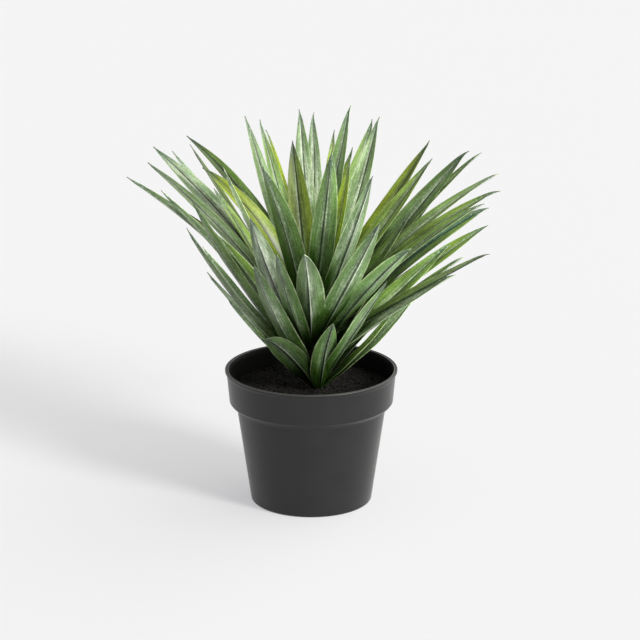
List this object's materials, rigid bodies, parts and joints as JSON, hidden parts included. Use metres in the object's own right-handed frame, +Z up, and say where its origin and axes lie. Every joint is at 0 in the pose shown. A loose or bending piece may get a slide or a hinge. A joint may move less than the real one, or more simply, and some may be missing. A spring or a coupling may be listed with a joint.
{
  "type": "potted plant",
  "caption": "Yucca with stiff sword leaves in a dark tapered plastic pot with a deep plain band under its lip.",
  "frame": {"origin": "centre of the flat underside of the pot's foot, on the pot's axis", "axes": "+Z up along the pot's axis, -Y towards the pictured side, +X to the right of that view"},
  "size_m": [0.3001, 0.2482, 0.317],
  "materials": {
    "pot_plastic": "charcoal moulded plastic, dull",
    "soil": "black-brown granular potting fill, rough",
    "leaves": "stiff green leaf with a soft waxy sheen"
  },
  "bodies": {
    "root": {"pot": "pot_plastic", "soil": "soil", "yucca": "leaves"}
  },
  "joints": []
}
